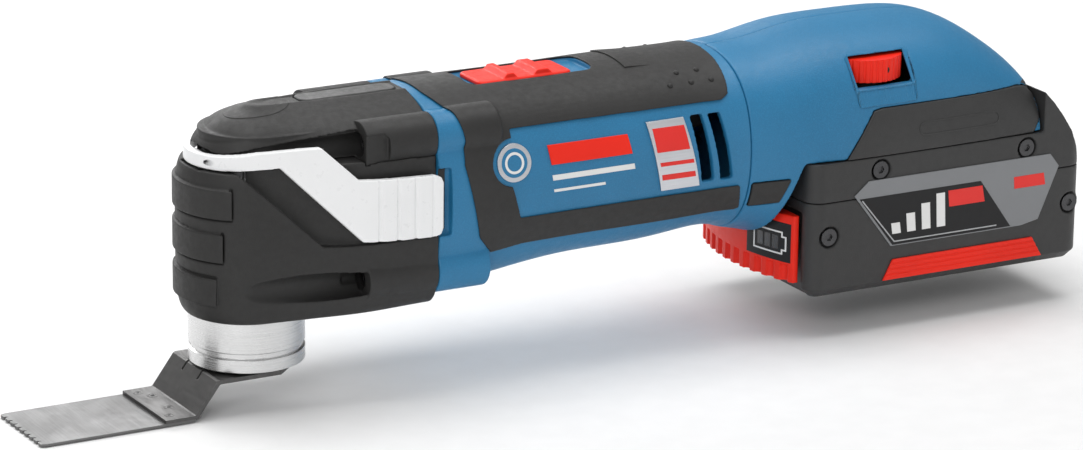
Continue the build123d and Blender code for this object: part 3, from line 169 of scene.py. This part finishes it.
def metal(name, base, rough=0.3, stretch=(60.0, 1500.0, 1500.0), depth=0.15, tint=0.08, edge=0.5, aniso=0.3,
          stain=0.0, stain_colour=(0.1, 0.1, 0.1), metallic=1.0, radius=0.0002, ring=False):
    m, nt, b = new_mat(name)
    co = coords(nt)
    if ring:
        # turned marks: fine steps along the axis, a little drift round it
        sp = nt.nodes.new("ShaderNodeSeparateXYZ")
        nt.links.new(co, sp.inputs[0])
        cb = nt.nodes.new("ShaderNodeCombineXYZ")
        nt.links.new(calc(nt, "MULTIPLY", sp.outputs[0], 12.0), cb.inputs[0])
        nt.links.new(calc(nt, "MULTIPLY", sp.outputs[1], 12.0), cb.inputs[1])
        nt.links.new(calc(nt, "MULTIPLY", sp.outputs[2], 2600.0), cb.inputs[2])
        lines = noise(nt, cb.outputs[0], 1.0, 3.0, 0.6)
    else:
        lines = noise(nt, coords(nt, stretch), 1.0, 4.0, 0.6)
    big = noise(nt, co, 60.0, 4.0, 0.6, 0.6)
    fine = noise(nt, co, 1800.0, 2.0)
    col = blend_colour(nt, spread(nt, lines, 0.0, 1.0), scaled(base, 1 - tint), scaled(base, 1 + tint))
    if stain:
        col = blend_colour(nt, spread(nt, big, 0.0, stain, 0.5, 0.75), col, stain_colour)
    normal, mask = edges(nt, radius)
    # edge wear and painted highlight: convex edges are mixed toward a lighter colour, standing in both for rubbed
    # edges and for bright edge lines
    wear_and_highlight = calc(nt, "MULTIPLY", mask, spread(nt, fine, 0.4 * edge, edge))
    col = blend_colour(nt, wear_and_highlight, col, scaled(base, 1.7))
    nt.links.new(col, b.inputs["Base Color"])
    b.inputs["Metallic"].default_value = metallic
    nt.links.new(calc(nt, "ADD", spread(nt, lines, rough - 0.06, rough + 0.08), spread(nt, big, -0.04, 0.06)),
                 b.inputs["Roughness"])
    n1 = bump(nt, lines, depth, 0.00006, normal)
    nt.links.new(bump(nt, fine, depth * 0.3, 0.00006, n1), b.inputs["Normal"])
    b.inputs["Anisotropic"].default_value = aniso
    return m


BLUE = (0.017, 0.166, 0.334)
SOFT = (0.0205, 0.020, 0.0195)
BLACK = (0.026, 0.026, 0.026)
RED = (0.86, 0.021, 0.007)

MATS = {
    "blue_plastic": plastic("blue_plastic_moulded", BLUE, rough=0.45, grain=2100.0, depth=0.75, tint=0.05, edge=0.5,
                            light=(0.12, 0.36, 0.56), spec=0.45, mottled=0.12),
    "soft_grip": plastic("soft_grip_moulded", SOFT, rough=0.56, grain=2900.0, depth=0.5, tint=0.1, edge=0.4,
                         light=(0.085, 0.083, 0.08), spec=0.42, mottled=0.06),
    "black_plastic": plastic("black_plastic_moulded", BLACK, rough=0.47, grain=2400.0, depth=0.55, tint=0.08,
                             edge=0.45, light=(0.09, 0.09, 0.09), spec=0.5, mottled=0.06),
    "red_plastic": plastic("red_plastic_moulded", RED, rough=0.4, grain=1700.0, depth=0.18, tint=0.05, edge=0.5,
                           light=(0.90, 0.07, 0.03), spec=0.25, mottled=0.01),
    "lever_paint": plastic("lever_silver_coat", (0.86, 0.865, 0.87), rough=0.33, grain=2600.0, depth=0.16, tint=0.02,
                           edge=0.5, light=(0.9, 0.9, 0.9), spec=0.6, coat=0.2, mottled=0.01),
    "collar_metal": metal("collar_turned", (0.66, 0.66, 0.66), rough=0.27, ring=True, depth=0.22, tint=0.07,
                          edge=0.5, aniso=0.4),
    "cast_case": metal("cast_aluminium", (0.5, 0.5, 0.51), rough=0.5, stretch=(900.0, 900.0, 900.0), depth=0.4,
                       aniso=0.0, edge=0.3),
    "machined_steel": metal("machined_steel", (0.42, 0.42, 0.43), rough=0.32, ring=True, depth=0.15, stain=0.25,
                            stain_colour=(0.2, 0.2, 0.21)),
    "carrier_steel": metal("carrier_dark_oxide", (0.115, 0.113, 0.112), rough=0.42, stretch=(700.0, 120.0, 400.0),
                           depth=0.15, tint=0.12, edge=0.5, aniso=0.1, stain=0.5, stain_colour=(0.06, 0.058, 0.055),
                           metallic=0.85),
    "blade_steel": metal("blade_ground", (0.155, 0.155, 0.155), rough=0.4, stretch=(2600.0, 60.0, 60.0), depth=0.12,
                         tint=0.06, edge=0.35, aniso=0.25, stain=0.25, stain_colour=(0.16, 0.157, 0.152),
                         metallic=0.8),
    "badge_metal": metal("badge_satin", (0.6, 0.61, 0.64), rough=0.36, stretch=(60.0, 900.0, 1800.0), depth=0.1,
                         tint=0.05, edge=0.6),
    "screw_steel": metal("screw_black_oxide", (0.06, 0.06, 0.062), rough=0.4, stretch=(500.0, 500.0, 500.0),
                         depth=0.2, edge=0.8, stain=0.3, stain_colour=(0.12, 0.115, 0.11), metallic=0.9),
    "silver_screw": metal("screw_blackened", (0.075, 0.075, 0.078), rough=0.3, stretch=(500.0, 500.0, 500.0),
                          depth=0.2, edge=0.9, metallic=0.9),
    "copper_wire": metal("enamelled_wire", (0.5, 0.2, 0.07), rough=0.3, stretch=(80.0, 2200.0, 2200.0), depth=0.6,
                         metallic=0.9),
    "laminations": metal("laminated_sheet", (0.3, 0.3, 0.31), rough=0.45, stretch=(2400.0, 20.0, 20.0), depth=0.6,
                         stain=0.3, stain_colour=(0.14, 0.1, 0.08)),
    "contact_brass": metal("contact_brass", (0.62, 0.46, 0.2), rough=0.28, stretch=(80.0, 1500.0, 1500.0)),
    "label_film": plastic("label_film_grey", (0.205, 0.212, 0.222), rough=0.38, grain=1500.0, depth=0.08, tint=0.03,
                          edge=0.2, mottled=0.01),
    "board_green": plastic("solder_mask", (0.02, 0.14, 0.05), rough=0.35, grain=700.0, depth=0.2, coat=0.2),
    "cell_wrap": plastic("cell_sleeve", (0.05, 0.3, 0.2), rough=0.3, grain=900.0, depth=0.1, coat=0.2),
}
PRINT_WHITE = plastic("print_white", (0.78, 0.78, 0.77), rough=0.4, grain=1500.0, depth=0.06, tint=0.03, edge=0.1,
                      mottled=0.01)
PRINT_BLACK = plastic("print_black", (0.014, 0.014, 0.015), rough=0.42, grain=1500.0, depth=0.02, edge=0.1,
                      spec=0.25, mottled=0.0)
PRINT_RED = plastic("print_red", (0.76, 0.014, 0.008), rough=0.36, grain=1500.0, depth=0.06, tint=0.04, edge=0.2,
                    mottled=0.01)
PRINT_GREY = plastic("print_grey", (0.42, 0.43, 0.44), rough=0.38, grain=1500.0, depth=0.06, tint=0.03, edge=0.1,
                     mottled=0.01)
# near-black used as painted shade in the screw counterbores, and as the dark of the weld spots on the carrier
SHADE_AND_WELD_DARK = plastic("painted_shade_and_weld_dark", (0.012, 0.012, 0.012), rough=0.6, grain=1500.0, depth=0.2)
LED_DARK = plastic("led_window", (0.035, 0.035, 0.037), rough=0.2, grain=900.0, depth=0.05, coat=0.4)

for name, o in nodes.items():
    o.data.materials.clear()
    o.data.materials.append(MATS[slot_of[name]])


# ------------------------------------------------------------------ softened shells
def adopt(obj, body, mat=None):
    if obj.name not in bpy.context.scene.collection.objects:
        bpy.context.scene.collection.objects.link(obj)
    if mat is not None:
        obj.data.materials.clear()
        obj.data.materials.append(mat)
    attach(obj, body)
    return obj


def evaluated_copy(obj, name):
    dg = bpy.context.evaluated_depsgraph_get()
    me = bpy.data.meshes.new_from_object(obj.evaluated_get(dg), depsgraph=dg)
    me.name = name
    return me


def soften(node, voxel, rounds, extra=None):
    """The shell with its moulded edges rounded: re-skinned finely, then relaxed."""
    src = nodes[node]
    tmp = bpy.data.objects.new(node + "_tmp", src.data.copy())
    bpy.context.scene.collection.objects.link(tmp)
    rm = tmp.modifiers.new("skin", "REMESH")
    rm.mode = "VOXEL"
    rm.voxel_size = voxel * MM
    rm.use_smooth_shade = True
    sm = tmp.modifiers.new("relax", "SMOOTH")
    sm.factor = 0.5
    sm.iterations = rounds
    bpy.context.view_layer.update()
    me = evaluated_copy(tmp, node + "_shell")
    bpy.data.objects.remove(tmp)
    me.materials.clear()
    for p in me.polygons:
        p.use_smooth = True
    o = bpy.data.objects.new(node + "_shell", me)
    adopt(o, body_of[node], MATS[slot_of[node]])
    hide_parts(node)
    return o


SHELLS = {}
for node, voxel, rounds in (("head_cover", 0.34, 3), ("top_cap", 0.3, 2), ("clamp_lever", 0.3, 3),
                            ("motor_housing", 0.42, 3), ("grip_overmold", 0.28, 3), ("rear_housing_left", 0.42, 4),
                            ("rear_housing_right", 0.42, 4), ("rail_carrier", 0.4, 3), ("side_grips", 0.25, 3),
                            ("battery_upper_shell", 0.42, 4), ("battery_lower_shell", 0.42, 4),
                            ("battery_latch", 0.3, 3), ("switch_slider", 0.22, 3), ("cap_plate", 0.25, 3)):
    SHELLS[node] = soften(node, voxel, rounds)


# ------------------------------------------------------------------ raised plates and prints that follow a surface
DIRS = {"Y-": Vector((0, 1, 0)), "Y+": Vector((0, -1, 0)), "Z+": Vector((0, 0, -1)), "X-": Vector((1, 0, 0)),
        "X+": Vector((-1, 0, 0))}


def to3(axis, p, d=0.0):
    if axis in ("Y-", "Y+"):
        return Vector((p[0], d, p[1])) * MM
    if axis == "Z+":
        return Vector((p[0], p[1], d)) * MM
    return Vector((d, p[0], p[1])) * MM


def surface(*names):
    verts, polys = [], []
    for n in names:
        me = (SHELLS[n] if n in SHELLS else nodes[n]).data
        base = len(verts)
        verts += [v.co.copy() for v in me.vertices]
        polys += [tuple(base + i for i in p.vertices) for p in me.polygons]
    return BVHTree.FromPolygons(verts, polys)


def circle(cx, cy, r, n=40, rx=None):
    return [(cx + (rx or r) * math.cos(2 * math.pi * i / n), cy + r * math.sin(2 * math.pi * i / n)) for i in range(n)]


def slot_line(x0, z0, x1, z1, r, n=8):
    """Outline of a rounded slot from one end centre to the other."""
    a = math.atan2(z1 - z0, x1 - x0)
    pts = []
    for i in range(n + 1):
        t = a - math.pi / 2 + math.pi * i / n
        pts.append((x1 + r * math.cos(t), z1 + r * math.sin(t)))
    for i in range(n + 1):
        t = a + math.pi / 2 + math.pi * i / n
        pts.append((x0 + r * math.cos(t), z0 + r * math.sin(t)))
    return pts


def ribbon(line, w, closed=False):
    """Left and right outlines of a band of width w along a line."""
    n = len(line)
    left, right = [], []
    for i, p in enumerate(line):
        q0 = line[i - 1] if (i > 0 or closed) else p
        q1 = line[(i + 1) % n] if (i < n - 1 or closed) else p
        d1 = Vector((p[0] - q0[0], p[1] - q0[1]))
        d2 = Vector((q1[0] - p[0], q1[1] - p[1]))
        d1 = d1.normalized() if d1.length > 1e-9 else d2.normalized()
        d2 = d2.normalized() if d2.length > 1e-9 else d1
        t = (d1 + d2).normalized()
        nrm = Vector((-t.y, t.x)) * (w / 2 / max(0.4, t.dot(d1)))
        left.append((p[0] + nrm.x, p[1] + nrm.y))
        right.append((p[0] - nrm.x, p[1] - nrm.y))
    return left, right


def plate(name, axis, tree, mat, body, outline=None, band=None, closed=False, lift=0.1, sink=0.35, step=1.2,
          lift_fn=None, reach=200.0):
    """A thin closed plate that lies on a surface. Its outline is flat, seen along the axis."""
    bm = bmesh.new()
    if outline:
        f = bm.faces.new([bm.verts.new(to3(axis, p)) for p in outline])
        bmesh.ops.triangulate(bm, faces=[f])
    else:
        left, right = band
        lv = [bm.verts.new(to3(axis, p)) for p in left]
        rv = [bm.verts.new(to3(axis, p)) for p in right]
        n = len(left)
        for i in range(n if closed else n - 1):
            j = (i + 1) % n
            bm.faces.new([lv[i], lv[j], rv[j], rv[i]])
        bmesh.ops.triangulate(bm, faces=bm.faces[:])
    for _ in range(9):
        long = [e for e in bm.edges if e.calc_length() > step * MM]
        if not long:
            break
        bmesh.ops.subdivide_edges(bm, edges=long, cuts=1)
        bmesh.ops.triangulate(bm, faces=[f for f in bm.faces if len(f.verts) > 3])
    d = DIRS[axis]
    flat = {}
    for v in bm.verts:
        p = v.co.copy()
        hit = tree.ray_cast(p - d * reach * MM, d)[0]
        if hit is None:
            hit = tree.find_nearest(p - d * 60 * MM)[0]
        up = lift if lift_fn is None else lift_fn(p / MM)
        v.co = hit - d * up * MM
        flat[v] = up
    bm.verts.ensure_lookup_table()
    tops = bm.faces[:]
    old = set(bm.verts)
    out = bmesh.ops.extrude_face_region(bm, geom=tops)
    fresh = [g for g in out["geom"] if isinstance(g, bmesh.types.BMVert)]
    for v in fresh:
        v.co -= -d * (lift + sink) * MM * 1.0
    bmesh.ops.recalc_face_normals(bm, faces=bm.faces[:])
    me = bpy.data.meshes.new(name)
    bm.to_mesh(me)
    bm.free()
    return adopt(bpy.data.objects.new(name, me), body, mat)


body_side = surface("motor_housing")
# generic stripe and lines on the panel
for tag, axis in (("near", "Y-"), ("far", "Y+")):
    plate("panel_stripe_" + tag, axis, body_side, MATS["red_plastic"], "housing", lift=0.45,
          outline=[(99.4, 61.6), (130.8, 61.6), (129.4, 68.2), (98.4, 68.2)])
    plate("panel_line_a_" + tag, axis, body_side, PRINT_WHITE, "housing", lift=0.06,
          outline=[(99.9, 56.1), (131.9, 56.1), (131.6, 58.0), (99.6, 58.0)])
    plate("panel_line_b_" + tag, axis, body_side, PRINT_WHITE, "housing", lift=0.06,
          outline=[(100.4, 52.0), (120.4, 52.0), (120.2, 53.0), (100.2, 53.0)])
# painted shade: a dark sheet lining the recess behind the bow's ends, where the pocket lies in shadow
for tag, axis in (("near", "Y-"), ("far", "Y+")):
    plate("painted_recess_shade_" + tag, axis, body_side, MATS["soft_grip"], "housing", lift=0.05, sink=0.2,
          outline=[(57.5, 43.0), (60.0, 43.8), (60.0, 65.2), (57.5, 66.0)])
badge = surface("badge_plates")
for tag, axis in (("near", "Y-"), ("far", "Y+")):
    plate("badge_bar_a_" + tag, axis, badge, PRINT_RED, "housing", lift=0.07,
          outline=[(140.3, 60.6), (153.0, 60.6), (151.4, 68.9), (139.0, 68.9)])
    plate("badge_bar_b_" + tag, axis, badge, PRINT_RED, "housing", lift=0.07,
          outline=[(141.6, 55.6), (154.6, 55.6), (154.3, 57.0), (141.3, 57.0)])
    plate("badge_bar_c_" + tag, axis, badge, PRINT_RED, "housing", lift=0.07,
          outline=[(142.4, 50.6), (155.4, 50.6), (155.0, 52.6), (142.1, 52.6)])
disc = surface("emblem_discs")
for tag, axis in (("near", "Y-"), ("far", "Y+")):
    plate("emblem_centre_" + tag, axis, disc, MATS["blue_plastic"], "housing", lift=0.06,
          outline=circle(85.1, 64.1, 4.9, 48))
    plate("emblem_dot_" + tag, axis, disc, PRINT_WHITE, "housing", lift=0.12,
          band=ribbon(circle(85.1, 64.1, 3.2, 40), 0.9, True), closed=True)

# grip dots and the raised tab on top of the grip
grip = surface("grip_overmold")
for i, (x, y) in enumerate(((150.4, -22.4), (159.0, -22.1), (167.0, -22.0), (155.4, -17.9), (163.6, -17.5))):
    for s in (1, -1):
        hit = grip.ray_cast(Vector((x, y * s, 200)) * MM, Vector((0, 0, -1)))
        bm = bmesh.new()
        bmesh.ops.create_uvsphere(bm, u_segments=20, v_segments=10, radius=1.0 * MM)
        nrm = hit[1]
        if nrm.z < 0:
            nrm = -nrm
        rot = nrm.to_track_quat("Z", "Y").to_matrix().to_4x4()
        for v in bm.verts:
            v.co.z *= 0.75
        bmesh.ops.transform(bm, matrix=Matrix.Translation(hit[0]) @ rot, verts=bm.verts)
        for f in bm.faces:
            f.smooth = True
        me = bpy.data.meshes.new("grip_dot")
        bm.to_mesh(me)
        bm.free()
        adopt(bpy.data.objects.new("grip_dot_%d_%s" % (i, "near" if s == 1 else "far"), me), "housing",
              MATS["soft_grip"])
plate("grip_tab", "Z+", grip, MATS["soft_grip"], "housing", sink=0.4, step=1.0,
      outline=[(138.4, -12.0), (160.0, -12.0), (160.0, 12.0), (138.4, 12.0)],
      lift_fn=lambda p: 0.5 - 0.9 * max(0.0, (p.x - 140.0)) / 16.0)

# thin facet let into the front of the cap
cap = surface("top_cap")
plate("cap_facet", "Z+", cap, MATS["soft_grip"], "housing", lift=0.16, sink=0.4, step=1.0,
      outline=circle(4.0, 0.0, 9.0, 56, rx=11.5))

# battery label
side = {"near": ("Y-", surface("side_labels")), "far": ("Y+", surface("side_labels"))}
for tag, (axis, tree) in side.items():
    plate("label_field_" + tag, axis, tree, PRINT_BLACK, "battery", lift=0.09, step=6,
          outline=[(219.0, 34.9), (269.7, 34.9), (283.0, 16.4), (233.2, 16.4)])
    plate("label_trim_" + tag, axis, tree, PRINT_GREY, "battery", lift=0.14, step=6,
          band=ribbon([(220.1, 34.2), (233.9, 17.6), (277.0, 17.6)], 0.45))
    for k in range(4):
        x = 233.0 + 6.2 * k
        plate("label_bar_%d_%s" % (k, tag), axis, tree, PRINT_WHITE, "battery", lift=0.14, step=6,
              outline=[(x, 20.4), (x + 3.6, 20.4), (x + 3.0, 24.4 + 2.8 * k), (x - 0.6, 24.4 + 2.8 * k)])
    plate("label_patch_" + tag, axis, tree, PRINT_RED, "battery", lift=0.14, step=6,
          outline=[(256.6, 27.2), (271.6, 27.2), (270.4, 33.2), (256.0, 33.2)])
    plate("label_accent_" + tag, axis, tree, PRINT_RED, "battery", lift=0.06, step=6,
          outline=[(284.2, 30.0), (297.4, 30.0), (296.6, 34.4), (283.8, 34.4)])

# painted shade: a dark ring at the edge of each screw's counterbore, standing in for the shadow in the recess
pack_side = surface("battery_upper_shell", "battery_lower_shell")
for k, (x, z) in enumerate(((207.4, 22.5), (228.0, 44.3), (289.4, 44.3), (308.6, 21.5))):
    for tag, axis in (("near", "Y-"), ("far", "Y+")):
        plate("painted_screw_shade_%d_%s" % (k, tag), axis, pack_side, SHADE_AND_WELD_DARK, "battery", lift=0.04,
              sink=0.2, step=0.8, band=ribbon(circle(x, z, 3.85, 40), 0.6, True), closed=True)

# raised rim of the dial window
rear_side = surface("rear_housing_left")
rim = ([(x, z) for x, z in ((218.9, 73.9), (219.7, 73.0), (242.7, 73.0), (243.6, 73.9), (243.6, 83.0),
                            (242.7, 83.9), (219.7, 83.9), (218.9, 83.0))])
plate("dial_window_rim", "Y-", rear_side, MATS["blue_plastic"], "housing", lift=0.22, sink=0.4,
      step=0.9, band=ribbon(rim, 0.8, True), closed=True)

# dark end of the housing behind the rail carrier
for tag, axis, half in (("near", "Y-", "rear_housing_left"), ("far", "Y+", "rear_housing_right")):
    plate("rail_end_" + tag, axis, surface(half), MATS["black_plastic"], "housing", lift=0.05,
          sink=0.2, step=0.8, outline=[(295.6, 50.0), (295.85, 50.0), (295.85, 66.0), (292.6, 66.7), (290.4, 66.5),
                                       (292.1, 65.8), (295.2, 62.9)])

# inner wall that closes the pack's rear end, behind the open slot over its seam
prof = [(310.6, 40.6), (312.6, 41.4), (310.2, 47.4), (308.4, 50.4), (306.8, 50.4)]
wall = bpy.data.meshes.new("pack_rear_wall")
n = len(prof)
wall.from_pydata([(x * MM, y * MM, z * MM) for y in (-32.0, 32.0) for x, z in prof], [],
                 [tuple(range(n)), tuple(range(2 * n - 1, n - 1, -1))] +
                 [(i + n, (i + 1) % n + n, (i + 1) % n, i) for i in range(n)])
adopt(bpy.data.objects.new("pack_rear_wall", wall), "battery", MATS["black_plastic"])

# charge gauge on the release latch
latch = surface("battery_latch")
plate("gauge_window", "X-", latch, PRINT_BLACK, "latch", lift=0.08, step=1.5,
      outline=[(-29.6, 12.4), (-9.0, 12.4), (-9.0, 26.6), (-29.6, 26.6)])
gauge = surface("battery_latch")
plate("gauge_icon", "X-", gauge, PRINT_WHITE, "latch", lift=0.16, step=1.0, closed=True,
      band=ribbon([(-27.6, 16.6), (-26.0, 16.6), (-26.0, 15.2), (-13.0, 15.2), (-13.0, 23.0), (-26.0, 23.0),
                   (-26.0, 21.4), (-27.6, 21.4)], 0.6, True))
for k in range(3):
    y = -24.4 + 3.5 * k
    plate("gauge_bar_%d" % k, "X-", gauge, LED_DARK, "latch", lift=0.16, step=1.0,
          outline=[(y, 16.6), (y + 2.6, 16.6), (y + 2.6, 21.6), (y, 21.6)])

# spot welds on the carrier, embossed slot on the rail panel
carrier = surface("blade_carrier")
for k, (x, y, r) in enumerate(((-31.1, 8.3, 0.75), (-31.2, -5.0, 0.75), (-34.4, 13.0, 0.5), (-34.6, -12.4, 0.5))):
    plate("weld_mark_%d" % k, "Z+", carrier, SHADE_AND_WELD_DARK, "accessory", lift=0.03, sink=0.1, step=0.6,
          outline=circle(x, y, r, 20))
    plate("weld_ring_%d" % k, "Z+", carrier, MATS["carrier_steel"], "accessory", lift=0.06,
          sink=0.1, step=0.6, band=ribbon(circle(x, y, r + 0.9, 24), 0.5, True), closed=True)
rail = surface("rail_carrier")
for tag, axis in (("near", "Y-"), ("far", "Y+")):
    plate("rail_emboss_" + tag, axis, rail, MATS["black_plastic"], "housing", lift=0.14, step=1.5,
          band=ribbon(slot_line(246.0, 57.2, 275.0, 57.2, 2.3), 0.5, True), closed=True)

# small mark on the dial
dial = surface("speed_dial")
plate("dial_mark", "Y-", dial, PRINT_BLACK, "dial", lift=0.05, step=0.8,
      outline=circle(233.4, 78.4, 1.0, 20, rx=0.5))


# ------------------------------------------------------------------ stage, light and camera
def area(name, loc, target, size, power, size_y=None, colour=(1, 1, 1)):
    data = bpy.data.lights.new(name, "AREA")
    data.energy = power
    data.size = size
    data.color = colour
    if size_y:
        data.shape = "RECTANGLE"
        data.size_y = size_y
    o = bpy.data.objects.new(name, data)
    o.location = loc
    o.rotation_euler = (Vector(target) - Vector(loc)).to_track_quat("-Z", "Y").to_euler()
    bpy.context.scene.collection.objects.link(o)
    return o


mid = Vector((0.12, 0.0, 0.045))
area("overhead", (0.15, 0.1, 1.0), mid, 1.3, 9.4, 0.7)
area("key", (-0.75, -0.95, 0.75), mid, 0.7, 5.9)
area("fill", (1.0, -1.0, 0.3), mid, 0.8, 1.5)
area("rim", (0.1, 0.95, 0.5), mid, 0.9, 5.0, 0.4)

floor_m, nt, b = new_mat("studio_floor")
fine = noise(nt, coords(nt), 90.0, 3.0)
nt.links.new(blend_colour(nt, spread(nt, fine, 0.0, 1.0), (0.86, 0.86, 0.86), (0.88, 0.88, 0.88)),
             b.inputs["Base Color"])
b.inputs["Roughness"].default_value = 0.7
me = bpy.data.meshes.new("floor")
me.from_pydata([(-6, -6, -0.0146), (6, -6, -0.0146), (6, 6, -0.0146), (-6, 6, -0.0146)], [], [(0, 1, 2, 3)])
me.materials.append(floor_m)
floor = bpy.data.objects.new("floor", me)
bpy.context.scene.collection.objects.link(floor)

world = bpy.data.worlds.new("studio")
bpy.context.scene.world = world
world.use_nodes = True
bg = world.node_tree.nodes.get("Background") or world.node_tree.nodes.new("ShaderNodeBackground")
bg.inputs[0].default_value = (1.0, 1.0, 1.0, 1.0)
bg.inputs[1].default_value = 0.36
bpy.context.scene.view_settings.view_transform = "Standard"

az, el, roll = math.radians(-29.26), math.radians(17.05), math.radians(0.687)
back = Vector((math.sin(az) * math.cos(el), -math.cos(az) * math.cos(el), math.sin(el)))
r0 = Vector((math.cos(az), math.sin(az), 0.0))
u0 = back.cross(r0)
right = r0 * math.cos(roll) + u0 * math.sin(roll)
up = -r0 * math.sin(roll) + u0 * math.cos(roll)
cam_data = bpy.data.cameras.new("camera")
cam = bpy.data.objects.new("camera", cam_data)
cam_data.sensor_width = 36.0
cam_data.lens = 5044.0 / 1083.0 * 36.0
cam_data.clip_start, cam_data.clip_end = 0.1, 20.0
D = 5044.0 / 2.97
L = (246.6 - 541.5) / 5044.0 * D
V = -(354.8 - 225.0) / 5044.0 * D
C = (-(right * L + up * V) + back * D) * MM
rot = Matrix((right, up, back)).transposed().to_4x4()
cam.matrix_world = Matrix.Translation(C) @ rot
bpy.context.scene.collection.objects.link(cam)
bpy.context.scene.camera = cam
